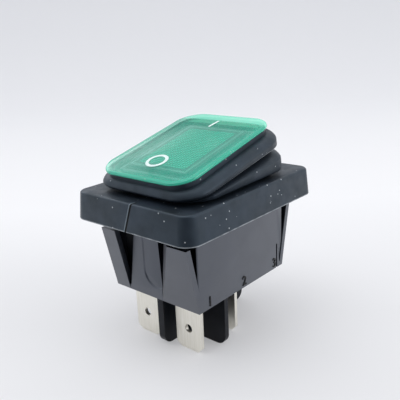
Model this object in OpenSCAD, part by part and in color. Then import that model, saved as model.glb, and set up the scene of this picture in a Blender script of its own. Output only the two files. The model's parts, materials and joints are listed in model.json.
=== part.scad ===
// Double-pole panel rocker switch with a rubber boot and a lamp, in millimetres.
// X runs the short way, Y the long way and Z up. The origin is the centre of the
// panel cut-out, on the face of the panel. The switch stands switched off: its
// O end, at -Y, is pressed down. Whatever turns is drawn level and then tilted.

/* [Boot flange] */
// Width of the rubber flange, over the panel
flange_w = 29.4; // [28.6:0.1:34]
// Length of the rubber flange
flange_l = 38.8; // [38:0.1:44]
// Height of the flange above the panel
flange_h = 5.3; // [5:0.1:6]
// Amount by which each side of the flange leans in towards its top
flange_draft = 0.5; // [0.2:0.05:0.8]
// Corner radius of the flange, seen from above
flange_r = 3; // [2:0.1:4]
// Thickness of the skirt round the bezel
skirt_t = 1.9; // [1.5:0.1:2.2]
// Thickness of the lip that seals under the bezel
lip_t = 0.8; // [0.5:0.1:1.2]
// Radius of the flange's top edge
edge_r = 0.5; // [0.3:0.1:0.8]

/* [Boot folds] */
// Width over the folds
fold_w = 25.2; // [24.8:0.1:26]
// Length over the folds
fold_l = 29.2; // [28.8:0.1:30.5]
// Corner radius of the folds, seen from above
fold_r = 5.5; // [4:0.1:7]
// Height of the lower fold's crest above the panel
crest_1 = 7.4; // [7.3:0.1:7.7]
// Height of the upper fold's crest above the panel
crest_2 = 10; // [9.9:0.1:10.3]
// Height of the lower fold above its crest
roll_1 = 1; // [0.8:0.1:1.1]
// Height of the upper fold above its crest
roll_2 = 1.5; // [1.2:0.1:1.8]
// Height of the lower fold below its crest
under_1 = 1.6; // [1.3:0.1:1.7]
// Height of the upper fold below its crest
under_2 = 1.1; // [0.9:0.1:1.2]
// How far the grooves between the folds lie inside the window's edge
groove_in = 1; // [0.6:0.1:1.2]
// Share by which the folds' tops are straight slopes and not round
fold_slope = 0.6; // [0:0.1:1]
// Thickness of the rubber in the folds
fold_wall = 0.7; // [0.5:0.05:0.8]
// Width of the bonded ledge under the window
ledge_w = 1.7; // [1.2:0.1:2]

/* [Window] */
// Width of the window plate
window_w = 21.8; // [21:0.1:22.6]
// Length of the window plate
window_l = 27.9; // [27:0.1:28.6]
// Thickness of the window plate at the middle of its short edges
window_t = 0.7; // [0.6:0.1:1]
// Height of the crown in the middle of the window plate
window_crown = 0.6; // [0.3:0.1:0.9]
// Corner radius of the window plate, seen from above
window_r = 4.5; // [3:0.1:6]
// Radius of the window plate's top edge
window_edge = 0.3; // [0.1:0.1:0.4]

/* [Housing] */
// Width of the housing below the panel
body_w = 21.6; // [21.2:0.1:23]
// Length of the housing below the panel
body_l = 26.8; // [26.4:0.1:29]
// Depth of the housing below the panel
body_depth = 15.1; // [14.8:0.1:18]
// Thickness of the side walls
side_wall = 1.6; // [1.3:0.1:1.8]
// Thickness of the floor
floor_t = 2.2; // [1.8:0.1:2.4]
// Height of the top of the bezel above the panel
bezel_top = 4; // [3.6:0.1:4.4]
// Depth of the pockets in the end walls
pocket_depth = 1.8; // [1.2:0.1:2]

/* [Snap wings] */
// Width of the narrow snap wing
wing_w = 3.7; // [3:0.1:4.2]
// Thickness of the wings
wing_t = 1.1; // [0.8:0.1:1.3]
// Angle by which a wing leans out of the end wall
wing_lean = 12; // [9:0.5:13]
// Distance from the panel face to the top of the wings
wing_drop = 2.2; // [1.8:0.1:3]

/* [Barriers] */
// Thickness of the barrier between the poles
pole_barrier_t = 1.5; // [1:0.1:2]
// Length of the barrier between the poles
pole_barrier_l = 25; // [22:0.1:26]
// Thickness of the barrier between terminals 1 and 2
row_barrier_t = 1.1; // [0.8:0.1:1.5]
// Width of the barrier between terminals 1 and 2
row_barrier_w = 20.6; // [18:0.1:21]
// Distance by which both barriers stop short of the tabs' ends
barrier_short = 0.1; // [0.1:0.1:3]
// Radius of the barriers' lower corners
barrier_r = 2; // [1:0.1:3]

/* [Terminals] */
// Width of a terminal tab
tab_w = 6.3; // [6:0.1:6.5]
// Thickness of a terminal
tab_t = 0.8; // [0.5:0.1:0.8]
// Length of a tab below the housing
tab_l = 10.4; // [10.2:0.1:12]
// Diameter of the hole in a tab
tab_hole = 1.7; // [1.2:0.1:2]
// Distance from the hole's centre to the tab's end
tab_hole_from_end = 4.6; // [3.5:0.1:5]
// Size of the chamfers on the tab's end corners
tab_chamfer = 1.1; // [0.6:0.1:1.6]
// Distance between the two poles
pole_pitch = 10.9; // [10.7:0.1:11.1]
// Distance between two terminal positions
terminal_pitch = 10.4; // [10.3:0.05:10.5]

/* [Rocker] */
// Gap between each side of the rocker and the housing
rocker_side_gap = 0.4; // [0.3:0.05:0.7]
// Gap between each end of the level rocker and the housing
rocker_end_gap = 0.3; // [0.2:0.05:0.7]
// Wall thickness of the rocker
rocker_wall = 1.2; // [1:0.1:1.3]
// Height of the pivot above the panel face
pivot_z = 2.1; // [2:0.05:2.3]
// Radius of the pivot trunnions
trunnion_r = 1.5; // [1.1:0.1:1.6]
// Tilt of the rocker from level to either stop
throw = 14; // [10:0.5:14]
// Width of the rocker's lens
lens_w = 11.3; // [9:0.1:12]
// Length of the rocker's lens
lens_l = 15.3; // [12:0.1:16]

/* [Contacts] */
// Distance from the pivot to the tip of a plunger
plunger_reach = 10.5; // [10:0.1:10.8]
// Radius of a plunger
plunger_r = 1.5; // [1.3:0.05:1.6]
// Length of a plunger's straight part
plunger_l = 4; // [3:0.1:4.5]
// Number of turns in a plunger spring
spring_turns = 8; // [6:1:10]
// Wire diameter of a plunger spring
spring_wire = 0.36; // [0.25:0.01:0.4]
// Width of a contact bar
bar_w = 4.2; // [3.6:0.1:4.4]
// Thickness of a contact bar
bar_t = 0.6; // [0.4:0.05:0.7]
// Tilt of a contact bar from level to either side
bar_throw = 8; // [6:0.5:8]
// Rise of each arm of a contact bar, when the bar is level
bar_rise = 11; // [9:0.5:12]
// Diameter of a contact rivet
rivet_d = 2.4; // [1.8:0.1:2.8]
// Height of a contact rivet
rivet_h = 0.6; // [0.4:0.05:0.8]

/* [Lamp] */
// Diameter of the lamp's glass
lamp_d = 3.6; // [3:0.1:3.8]
// Length of the lamp's glass
lamp_l = 10; // [8:0.1:10.5]
// Diameter of the resistor
resistor_d = 1.8; // [1.4:0.1:2.2]
// Length of the resistor
resistor_l = 3; // [2.4:0.1:3.4]
// Diameter of the lamp's wires
wire_d = 0.5; // [0.3:0.05:0.6]

/* [Hidden] */
$fn = 32;

// Sides of the switch: the left pole is at -X and the right pole at +X
left = -1;
right = 1;

// Clearances
fit = 0.05;          // between pieces that seat in each other
run = 0.05;          // round a trunnion, a plunger or a pin
slack = 0.02;        // between pieces that only touch
over = 1;            // how far a cut runs past a face
rocker_gap = 0.1;    // between the rocker and the window
stop_gap = 0.1;      // between the rocker and its stop

// Levels
floor_top = -body_depth + floor_t;
tab_end = -body_depth - tab_l;
barrier_depth = tab_l - barrier_short;
root_drop = 0.3;     // from the flange's top to the folds' root
root_z = flange_h - root_drop;
root_out = 0.7;      // how far the root spreads onto the flange
root_rise = 0.2;
neck_h = 0.8;        // under the window
neck_in = 0.4;
lip_chamfer = 0.1;
boot_top = crest_2 + roll_2 + neck_h;

// Heights above the pivot, on the level rocker
window_h = boot_top - pivot_z;
rocker_top = window_h - rocker_gap;
border_top = rocker_top - 0.6;
lens_ledge = rocker_top - 1.2;
ceiling = lens_ledge - 0.8;
skirt_bottom = -0.2;
lens_flange = 0.7;   // how far the lens spreads under the rocker's frame

// Plan sizes
bezel_w = flange_w - 2*skirt_t;
bezel_l = flange_l - 2*skirt_t;
bezel_r = max(flange_r - skirt_t, 0.5);
body_r = 0.3;
end_wall = 0.7;
cavity_w = body_w - 2*side_wall;
inner_end = body_l/2 - pocket_depth;
cavity_l = 2*(inner_end - end_wall);
mouth_l = cavity_l + 2;
mouth_z = 0.5;
rocker_w = cavity_w - 2*rocker_side_gap;
rocker_l = cavity_l - 2*rocker_end_gap;
trunnion_l = 1.3;    // into the side wall
trunnion_boss = 1.1;

// Lamp cradle, on the wall between the poles
cradle_w = lamp_d + 1.2;
cradle_top = -3;
cradle_h = 2.2;
bead = 0.6;          // of lacquer at each end of the resistor
end_space = 0.3;     // between the cradle's end and what lies in it
wire_between = 0.8;  // bare wire from the lamp to the resistor
cradle_l = lamp_l + resistor_l + bead + wire_between + 2*end_space;
pole_wall = 2.4;
lead_turn = 0.5;     // between the cradle's end and a lead
lead_aside = 0.55;   // between the wall between the poles and a lead
lead_drop = 0.7;     // between the cradle and a lead below it
lead_z = -11.2;
blade_reach = 0.6;   // how far a lead runs over the blade

// Housing details
foot_h = 1;
slit_w = 0.3;
slit_d = 0.25;
slit_in = 0.45;      // from the side face to the slit's middle
pocket_skin = 0.25;  // of side wall left standing beside a pocket
step_in = 0.2;       // the side face steps back near one corner
step_l = 2.3;
recess_d = 0.2;
recess_r = 3.3;
recess_x = 0.5;
recess_lift = 5.3;   // from the floor to the recess's lowest arc
recess_top = 1.5;
recess_left = -2.8;
recess_right = 2.5;
rib_w = 11.2;
rib_depth = 3;
stop_w = 2.8;
stop_l = 1.4;
tab_seat = 1;        // how far a tab's full width goes into the floor

// Plunger and contact bar
tip_r = plunger_r - 0.3;
tip_centre = tip_r - plunger_reach;
tip_l = 0.3;         // straight part of the tip
leg_wall = 0.8;
leg_r = plunger_r + leg_wall;
leg_bottom = tip_centre + 1.3;
leg_top = 3;
leg_web = 2;
web_reach = (rocker_w - rocker_wall)/2;
bore_top = leg_top - 0.6;
plunger_top = tip_centre + tip_l + plunger_l;
coil_in = 0.35;      // from the plunger's side to the middle of the wire
// The plunger's tip must clear the arms half-way through the throw, where it is tightest
half_swing = -tip_centre*sin(throw/2);
half_rise = -tip_centre*(1 - cos(throw/2));
half_slope = bar_rise - bar_throw/2;
tight_spot = half_swing*tan(half_slope) + tip_r/cos(half_slope) - half_rise;
bar_clear = 0.03;
bar_apex = pivot_z + tip_centre - tight_spot - bar_clear;
bar_axis = bar_apex - bar_t;
crimp_r = 0.45;
contact_inset = 1.5; // from the terminal's middle to the rivets
contact_reach = terminal_pitch - contact_inset;
long_arm = contact_reach + rivet_d/2;
short_arm = 5;
// The moving rivet's face, when the contact is closed
closed_slope = bar_rise - bar_throw;
apex_lift = bar_apex - bar_axis;
closed_face = bar_axis + apex_lift*cos(bar_throw) + contact_reach*sin(closed_slope)
    - (bar_t + rivet_h)*cos(closed_slope) - rivet_d/2*sin(closed_slope);
fixed_face = closed_face - fit;
shelf_top = fixed_face - rivet_h;
shelf_l = contact_inset + rivet_d/2 + 0.2;
notch_w = bar_w + 0.2;
ear_w = 0.7;
ear_h = 1.6;
blade_in_w = notch_w - 0.1;

// Colours
rubber = "#24262a";
nylon = "#3a3c42";
green = "#2fae86";
tin = "#c9c7c0";
brass = "#c8a14e";
silver = "#dddddd";
steel = "#a9adb3";

// A rounded rectangle with true arcs
module plate_2d(w, l, r) {
    square([w - 2*r, l], center = true);
    square([w, l - 2*r], center = true);
    for (x = [-1, 1], y = [-1, 1])
        translate([x*(w/2 - r), y*(l/2 - r)]) circle(r = r);
}

module plate(w, l, r, z0, z1) {
    translate([0, 0, z0]) linear_extrude(z1 - z0) plate_2d(w, l, r);
}

// A block from its lowest to its highest corner
module block(a, b) {
    translate(a) cube(b - a);
}

// Extrudes an outline drawn in Y and Z along X, from x0 to x1
module along_x(x0, x1) {
    translate([x0, 0, 0]) rotate([90, 0, 90]) linear_extrude(x1 - x0) children();
}

// Extrudes an outline drawn in X and Z along Y, from y0 to y1
module along_y(y0, y1) {
    translate([0, y1, 0]) rotate([90, 0, 0]) linear_extrude(y1 - y0) children();
}

// Turns level pieces about the rocker's pivot into the pressed position
module on_rocker() {
    translate([0, 0, pivot_z]) rotate([throw, 0, 0]) children();
}

// Turns a level contact bar about its own axis; its contact end is up
module on_bar(side) {
    translate([side*pole_pitch/2, 0, bar_axis]) rotate([-bar_throw, 0, 0])
        translate([0, 0, -bar_axis]) children();
}

// A round wire through a list of points
module wire(points, d) {
    for (i = [0 : len(points) - 2]) {
        step = points[i + 1] - points[i];
        flat = norm([step.x, step.y]);
        translate(points[i]) rotate([0, atan2(flat, step.z), atan2(step.y, step.x)])
            cylinder(d = d, h = norm(step), $fn = 16);
    }
    for (p = [for (i = [1 : len(points) - 2]) points[i]])
        translate(p) sphere(d = d + slack, $fn = 16);
}

// ---- Boot: one rubber moulding, swept as a closed profile round the switch ----

CORNER_STEPS = 8;

// One ring of points round a rounded rectangle, all at one height
function ring(half_w, half_l, r, z) = [
    for (c = [0 : 3], i = [0 : CORNER_STEPS])
        let (turn = 90*c - 90 + 90*i/CORNER_STEPS,
             sx = (c == 0 || c == 1) ? 1 : -1,
             sy = (c == 1 || c == 2) ? 1 : -1)
        [sx*(half_w - r) + r*cos(turn), sy*(half_l - r) + r*sin(turn), z]
];

// The flange's outline, pulled in by some amount, at a height
function flange_at(inset, z) =
    [flange_w/2 - inset, flange_l/2 - inset, max(flange_r - inset, 0.4), z];

// The folds' outline: u is 0 on a crest and 1 on a fold's inner line
function fold_at(u, inset, z, inner = groove_in) = [
    fold_w/2*(1 - u) + (window_w/2 - inner)*u - inset,
    fold_l/2*(1 - u) + (window_l/2 - inner)*u - inset,
    fold_r*(1 - u) + (window_r - inner)*u - inset, z
];

function bezel_at(gap, z) = [bezel_w/2 + gap, bezel_l/2 + gap, bezel_r + gap, z];

// One fold: a sharp undercut from the groove to the crest, then a nose and a sloping top
function fold(crest, under, roll, inset, inner = groove_in) = concat(
    [for (t = [1 : -0.2 : 0.4]) fold_at(pow(t, 3), inset, crest - (under - inset)*pow(t, 0.9))],
    [for (a = [0 : 22.5 : 90])
        let (u = 1 - cos(a), rise = sin(a), straight = (u + rise)/2)
        fold_at(u + (straight - u)*fold_slope, inset,
            crest + (roll - inset)*(rise + (straight - rise)*fold_slope), inner)]
);

function reversed(list) = [for (i = [len(list) - 1 : -1 : 0]) list[i]];

// The profile, out along the bottom, up the outside and down the inside
function boot_profile() =
    let (ledge = [window_w/2 - ledge_w, window_l/2 - ledge_w, window_r - ledge_w],
         seal = [body_w/2 + fit, body_l/2 + fit, body_r + fit])
    concat(
        [concat(seal, 0), flange_at(lip_chamfer, 0), flange_at(0, lip_chamfer)],
        [for (a = [0 : 30 : 90])
            flange_at(flange_draft + edge_r*(1 - cos(a)), flange_h - edge_r*(1 - sin(a)))],
        [fold_at(1, -root_out, root_z), fold_at(1, 0, root_z + root_rise)],
        fold(crest_1, under_1, roll_1, 0), fold(crest_2, under_2, roll_2, 0, neck_in),
        [fold_at(1, 0, boot_top, neck_in)],
        [concat(ledge, boot_top), concat(ledge, boot_top - fold_wall)],
        reversed(fold(crest_2, under_2, roll_2, fold_wall)),
        reversed(fold(crest_1, under_1, roll_1, fold_wall)),
        [fold_at(1, fold_wall, bezel_top + slack), bezel_at(fit, bezel_top + slack),
         bezel_at(fit, lip_t - slack), concat(seal, lip_t - slack)]
    );

// The folds fan out: nothing turns below the root, and all turns above the upper crest
function bent(p) =
    let (share = min(1, max(0, (p.z - root_z)/(crest_2 - root_z))),
         a = throw*share, h = p.z - pivot_z)
    [p.x, p.y*cos(a) - h*sin(a), pivot_z + p.y*sin(a) + h*cos(a)];

module boot() {
    profile = boot_profile();
    count = 4*(CORNER_STEPS + 1);
    points = [for (p = profile) each [for (q = ring(p[0], p[1], p[2], p[3])) bent(q)]];
    faces = [
        for (j = [0 : len(profile) - 1], i = [0 : count - 1])
            let (k = (j + 1) % len(profile), n = (i + 1) % count,
                 a = j*count + i, b = j*count + n, c = k*count + n, d = k*count + i)
            each [[a, c, b], [a, d, c]]
    ];
    color(rubber) polyhedron(points, faces, convexity = 10);
}

// ---- Window ----

// The radius of a ball that crowns the plate along its length
function crown_r() = (pow(window_l/2, 2) + pow(window_crown, 2))/(2*window_crown);

module window() {
    top = window_h + window_t;
    steps = 3;
    color(green, 0.8) on_rocker() intersection() {
        union() {
            plate(window_w, window_l, window_r, window_h, top - window_edge);
            for (i = [1 : steps]) {
                // the last step runs on up, for the ball to cut
                inset = window_edge*(1 - cos(90*i/steps));
                low = top - window_edge*(1 - sin(90*(i - 1)/steps));
                high = i == steps ? top + over : top - window_edge*(1 - sin(90*i/steps));
                plate(window_w - 2*inset, window_l - 2*inset, window_r - inset, low, high);
            }
        }
        translate([0, 0, top + window_crown - crown_r()]) sphere(r = crown_r(), $fn = 240);
    }
}

// ---- Housing ----

function wing_out() = (body_depth - wing_drop)*tan(wing_lean);

// The side outline of a leaning wing, as Y and Z at the -Y end
module wing_outline() {
    y = -body_l/2;
    polygon([
        [y, -body_depth], [y - wing_out(), -wing_drop],
        [y - wing_out() + wing_t, -wing_drop], [y + wing_t, -body_depth]
    ]);
}

// The part of an end wall that the wings' slots leave standing
slot_tip = -body_depth + 2;
panel_left = [-4.4, -6.9];
panel_right = [1.1, 1.8];
wide_wing_left = [3, 1.9];
wide_wing_ramp = 6.4;

module end_panel() {
    y = -body_l/2;
    difference() {
        along_y(y, y + pocket_depth + fit) polygon([
            [panel_left[0], 0], [panel_left[1], -body_depth],
            [panel_right[1], -body_depth], [panel_right[1], slot_tip], [panel_right[0], 0]
        ]);
        // a shallow recess with a round lower end, as moulded
        along_y(y - over, y + recess_d) {
            translate([recess_x, -body_depth + recess_lift]) circle(r = recess_r);
            polygon([
                [recess_left, -body_depth + recess_lift], [recess_left, -recess_top],
                [recess_right, -recess_top], [recess_right, -body_depth + recess_lift]
            ]);
        }
    }
}

module narrow_wing() {
    along_x(-body_w/2, -body_w/2 + wing_w) wing_outline();
}

// The wide wing has a flat edge by its slot and ramps out to the leaning face
module wide_wing() {
    y = -body_l/2;
    along_x(wide_wing_ramp, body_w/2) wing_outline();
    hull() {
        along_x(wide_wing_ramp, wide_wing_ramp + 0.01) wing_outline();
        along_y(y, y + wing_t) polygon([
            [wide_wing_left[0], -wing_drop], [wide_wing_left[1], slot_tip],
            [wide_wing_left[1], -body_depth], [wide_wing_left[1] + 0.1, -body_depth],
            [wide_wing_left[0] + 0.1, -wing_drop]
        ]);
    }
}

// Everything cut away round the wings of the end at -Y
module end_pocket() {
    y = -body_l/2;
    side = body_w/2 - pocket_skin;
    translate([0, 0, -body_depth - over]) linear_extrude(body_depth + over) polygon([
        [-side, y - over], [-side, y], [-cavity_w/2, -inner_end],
        [cavity_w/2, -inner_end], [side, y], [side, y - over]
    ]);
}

// The solid foot that carries the wings, below their gaps
module end_foot() {
    y = -body_l/2;
    foot = wing_t/tan(wing_lean);
    difference() {
        along_x(-body_w/2, body_w/2) polygon([
            [y, -body_depth], [-inner_end + fit, -body_depth],
            [-inner_end + fit, -body_depth + foot],
            [y + wing_t, -body_depth + foot_h], [y, -body_depth + foot_h]
        ]);
        // the thin slit between the wing's foot and the side wall
        for (x = [-1, 1]) translate([x*(body_w/2 - slit_in), y, 0])
            cube([slit_w, 2*slit_d, 3*body_depth], center = true);
    }
}

module barrier(length, thickness) {
    z = -body_depth - barrier_depth;
    along_y(-thickness/2, thickness/2) {
        translate([-length/2, z + barrier_r]) square([length, barrier_depth - barrier_r + fit]);
        translate([-length/2 + barrier_r, z]) square([length - 2*barrier_r, barrier_r + fit]);
        for (x = [-1, 1]) translate([x*(length/2 - barrier_r), z + barrier_r]) circle(r = barrier_r);
    }
}

module terminal_slot(side, y, inner_w) {
    translate([side*pole_pitch/2, y, -body_depth]) {
        translate([-tab_w/2 - fit, -tab_t/2 - fit, -over])
            cube([tab_w + 2*fit, tab_t + 2*fit, over + tab_seat]);
        translate([-inner_w/2 - fit, -tab_t/2 - fit, -over])
            cube([inner_w + 2*fit, tab_t + 2*fit, over + floor_t + over]);
    }
}

module housing_shell() {
    difference() {
        union() {
            plate(body_w, body_l, body_r, -body_depth, bezel_top);
            plate(bezel_w, bezel_l, bezel_r, lip_t, bezel_top);
        }
        plate(cavity_w, cavity_l, 0.5, floor_top, bezel_top + over);
        plate(cavity_w, mouth_l, 0.8, mouth_z, bezel_top + over);
        for (a = [0, 180]) rotate(a) {
            end_pocket();
            // the side face steps back near one corner
            block([-body_w/2 - over, -body_l/2 - over, -body_depth - over],
                [-body_w/2 + step_in, -body_l/2 + step_l, 0]);
        }
        for (side = [left, right])
            translate([side*(cavity_w/2 - over), 0, pivot_z]) rotate([0, side*90, 0])
                cylinder(r = trunnion_r + run, h = over + trunnion_l + fit);
    }
}

module housing() {
    color(nylon) {
        difference() {
            union() {
                housing_shell();
                for (a = [0, 180]) rotate(a) {
                    end_foot();
                    end_panel();
                    narrow_wing();
                    wide_wing();
                }
                // barriers under the floor: along Y, then across X
                rotate(90) barrier(pole_barrier_l, pole_barrier_t);
                translate([0, -terminal_pitch/2, 0]) barrier(row_barrier_w, row_barrier_t);
                // low rib beyond terminal 2
                block([-rib_w/2, terminal_pitch/2 - row_barrier_t/2, -body_depth - rib_depth],
                    [rib_w/2, terminal_pitch/2 + row_barrier_t/2, -body_depth + fit]);
                // wall between the poles, with the lamp's cradle on it
                block([-pole_wall/2, -cavity_l/2 - fit, floor_top - fit],
                    [pole_wall/2, cavity_l/2 + fit, cradle_top - cradle_h]);
                block([-cradle_w/2, -cradle_l/2, cradle_top - cradle_h - fit],
                    [cradle_w/2, cradle_l/2, cradle_top]);
                // stops under both ends of the rocker
                for (y = [-1, 1]) translate([0, y*(cavity_l/2 - stop_l/2), 0])
                    block([-stop_w/2, -stop_l/2 - fit, floor_top - fit],
                        [stop_w/2, stop_l/2 + fit, stop_z()]);
            }
            translate([0, 0, cradle_top]) rotate([90, 0, 0])
                cylinder(d = lamp_d + 2*fit, h = cradle_l + over, center = true);
            for (side = [left, right]) {
                terminal_slot(side, -terminal_pitch, blade_in_w);
                terminal_slot(side, 0, notch_w + 2*ear_w);
            }
        }
    }
}

// The rocker's lower edge comes down to this level at its stop
function stop_z() = pivot_z - rocker_l/2*sin(throw) + skirt_bottom*cos(throw) - stop_gap;

// ---- Rocker ----

module rocker() {
    color(nylon) on_rocker() {
        difference() {
            union() {
                plate(rocker_w, rocker_l, 1.2, skirt_bottom, border_top);
                plate(rocker_w - 2, rocker_l - 2.6, 1.6, border_top, rocker_top);
                for (side = [left, right]) {
                    translate([side*(rocker_w/2 - rocker_wall), 0, 0]) rotate([0, side*90, 0]) {
                        cylinder(r = trunnion_r, h = rocker_wall + rocker_side_gap + trunnion_l);
                        cylinder(r = trunnion_r + trunnion_boss, h = rocker_wall);
                    }
                }
            }
            plate(rocker_w - 2*rocker_wall, rocker_l - 2*rocker_wall, 0.6,
                skirt_bottom - 3, ceiling);
            plate(lens_w + 2*lens_flange + 2*fit, lens_l + 2*lens_flange + 2*fit, 0.5,
                ceiling - over, lens_ledge);
            plate(lens_w + 2*fit, lens_l + 2*fit, 0.5, ceiling, rocker_top + over);
        }
        for (side = [left, right]) difference() {
            union() {
                translate([side*pole_pitch/2, 0, leg_bottom])
                    cylinder(r = leg_r, h = leg_top - leg_bottom);
                // a web ties the leg to the side wall
                along_y(-leg_web/2, leg_web/2) polygon([
                    [side*pole_pitch/2, -leg_web/2], [side*web_reach, -leg_web/2],
                    [side*web_reach, leg_top], [side*pole_pitch/2, leg_top]
                ]);
            }
            translate([side*pole_pitch/2, 0, leg_bottom - over])
                cylinder(r = plunger_r + run, h = bore_top - leg_bottom + over);
        }
    }
}

module rocker_lens() {
    color(green) on_rocker() {
        plate(lens_w, lens_l, 0.5, lens_ledge - slack, rocker_top);
        plate(lens_w + 2*lens_flange, lens_l + 2*lens_flange, 0.5, ceiling, lens_ledge - slack);
    }
}

// ---- Lamp, in its cradle between the poles ----

// Places along the cradle, the lamp at one end and its resistor at the other
lamp_y = -cradle_l/2 + end_space + bead;
resistor_y = cradle_l/2 - end_space - resistor_l;

module lamp() {
    color("#f2d9c0") translate([0, lamp_y, cradle_top]) rotate([-90, 0, 0]) {
        translate([0, 0, lamp_d/2]) sphere(d = lamp_d);
        translate([0, 0, lamp_d/2]) cylinder(d = lamp_d, h = lamp_l - lamp_d/2);
    }
}

module lamp_resistor() {
    color("#c9b48a") translate([0, resistor_y, cradle_top]) rotate([-90, 0, 0]) {
        cylinder(d = resistor_d, h = bead);
        translate([0, 0, bead]) cylinder(d = resistor_d*0.85, h = resistor_l - 2*bead);
        translate([0, 0, resistor_l - bead]) cylinder(d = resistor_d, h = bead);
        translate([0, 0, lamp_y + lamp_l - resistor_y + slack])
            cylinder(d = wire_d, h = resistor_y - lamp_y - lamp_l);
    }
}

// A lead drops beside the wall between the poles and runs to the fixed terminal
module lead(side, start_y) {
    aside = side*(pole_wall/2 + lead_aside);
    run_z = cradle_top - cradle_h - lead_drop;
    turn_y = side*(cradle_l/2 + lead_turn);
    meet_y = -terminal_pitch + tab_t/2 + wire_d/2 + slack;
    foot_y = meet_y + wire_d;
    wire([
        [0, start_y, cradle_top], [0, turn_y, cradle_top],
        [aside, turn_y, cradle_top], [aside, turn_y, run_z],
        [aside, foot_y, run_z], [aside, foot_y, lead_z],
        [side*(pole_pitch/2 - blade_in_w/2 + blade_reach), meet_y, lead_z]
    ], wire_d);
}

module lamp_lead_left() { color(tin) lead(left, lamp_y - slack); }
module lamp_lead_right() { color(tin) lead(right, resistor_y + resistor_l + slack); }

// ---- Plungers and their springs, in the rocker's legs ----

module plunger(side) {
    color("#e8e4d8") on_rocker() translate([side*pole_pitch/2, 0, tip_centre]) {
        sphere(r = tip_r);
        cylinder(r = tip_r, h = tip_l);
        translate([0, 0, tip_l]) cylinder(r = plunger_r, h = plunger_l);
    }
}

module plunger_left() { plunger(left); }
module plunger_right() { plunger(right); }

// A coil spring with flat-lying ends, swept as a closed tube
module plunger_spring(side) {
    wire_sides = 6;
    ring_steps = 10;
    coil_r = plunger_r - coil_in;
    low = plunger_top + slack + spring_wire/2;
    high = bore_top - slack - spring_wire/2;
    rings = spring_turns*ring_steps;
    points = [
        for (i = [0 : rings], s = [0 : wire_sides - 1])
            let (turn = 360*i/ring_steps, around = 360*s/wire_sides,
                 r = coil_r + spring_wire/2*cos(around),
                 rise = (i/rings)*(high - low))
            [r*cos(turn), r*sin(turn), low + rise + spring_wire/2*sin(around)]
    ];
    faces = concat(
        [for (i = [0 : rings - 1], s = [0 : wire_sides - 1])
            let (t = (s + 1) % wire_sides)
            [i*wire_sides + s, i*wire_sides + t, (i + 1)*wire_sides + t, (i + 1)*wire_sides + s]],
        [[for (s = [wire_sides - 1 : -1 : 0]) s]],
        [[for (s = [0 : wire_sides - 1]) rings*wire_sides + s]]
    );
    color(steel) on_rocker() translate([side*pole_pitch/2, 0, 0])
        polyhedron(points, faces, convexity = 10);
}

module plunger_spring_left() { plunger_spring(left); }
module plunger_spring_right() { plunger_spring(right); }

// ---- Contact bars: see-saws with two rising arms ----

module contact_bar(side) {
    color(brass) on_bar(side) {
        along_x(-bar_w/2, bar_w/2) {
            for (arm = [[-1, long_arm], [1, short_arm]]) {
                run_y = arm[0]*arm[1]*cos(bar_rise);
                rise_z = bar_apex + arm[1]*sin(bar_rise);
                polygon([
                    [0, bar_apex], [run_y, rise_z],
                    [run_y + arm[0]*bar_t*sin(bar_rise), rise_z - bar_t*cos(bar_rise)],
                    [0, bar_apex - bar_t/cos(bar_rise)]
                ]);
            }
        }
        // the rib it rocks on
        translate([0, 0, bar_axis]) rotate([0, 90, 0])
            cylinder(r = crimp_r, h = bar_w, center = true);
    }
}

module contact_bar_left() { contact_bar(left); }
module contact_bar_right() { contact_bar(right); }

module contact_tip(side) {
    color(silver) on_bar(side) translate([0, 0, bar_apex]) rotate([-bar_rise, 0, 0])
        translate([0, -contact_reach, -bar_t - rivet_h]) {
            cylinder(d = rivet_d, h = rivet_h);
        }
}

module contact_tip_left() { contact_tip(left); }
module contact_tip_right() { contact_tip(right); }

// ---- Terminals ----

// The front of a blade: the tab below the housing, narrower inside it
module blade_front(inner_w, top) {
    shoulder = -body_depth + tab_seat - fit;
    polygon([
        [-tab_w/2 + tab_chamfer, tab_end], [tab_w/2 - tab_chamfer, tab_end],
        [tab_w/2, tab_end + tab_chamfer], [tab_w/2, shoulder],
        [inner_w/2, shoulder], [inner_w/2, top],
        [-inner_w/2, top], [-inner_w/2, shoulder],
        [-tab_w/2, shoulder], [-tab_w/2, tab_end + tab_chamfer]
    ]);
}

module blade(inner_w, top) {
    bevel = tab_t/4;
    difference() {
        along_y(-tab_t/2, tab_t/2) blade_front(inner_w, top);
        // the tab's end is coined thinner
        for (s = [-1, 1]) along_x(-tab_w, tab_w) polygon([
            [s*tab_t/2, tab_end + 3*bevel], [s*(tab_t/2 - bevel), tab_end],
            [s*(tab_t/2 - bevel), tab_end - over], [s*tab_t, tab_end - over],
            [s*tab_t, tab_end + 3*bevel]
        ]);
        translate([0, 0, tab_end + tab_hole_from_end]) rotate([90, 0, 0])
            cylinder(d = tab_hole, h = 3*tab_t, center = true);
    }
}

module fixed_terminal(side) {
    color(tin) translate([side*pole_pitch/2, -terminal_pitch, 0]) {
        blade(blade_in_w, shelf_top);
        block([-blade_in_w/2, -tab_t/2, shelf_top - tab_t], [blade_in_w/2, shelf_l, shelf_top]);
    }
}

module fixed_terminal_left() { fixed_terminal(left); }
module fixed_terminal_right() { fixed_terminal(right); }

module fixed_contact(side) {
    color(silver) translate([side*pole_pitch/2, -contact_reach, shelf_top])
        cylinder(d = rivet_d, h = rivet_h);
}

module fixed_contact_left() { fixed_contact(left); }
module fixed_contact_right() { fixed_contact(right); }

// The common terminal ends in a fork that the contact bar rocks in
module common_terminal(side) {
    seat = bar_axis - crimp_r - slack;
    color(tin) translate([side*pole_pitch/2, 0, 0]) difference() {
        blade(notch_w + 2*ear_w, seat + ear_h);
        block([-notch_w/2, -tab_t, seat], [notch_w/2, tab_t, seat + ear_h + over]);
    }
}

module common_terminal_left() { common_terminal(left); }
module common_terminal_right() { common_terminal(right); }

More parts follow.
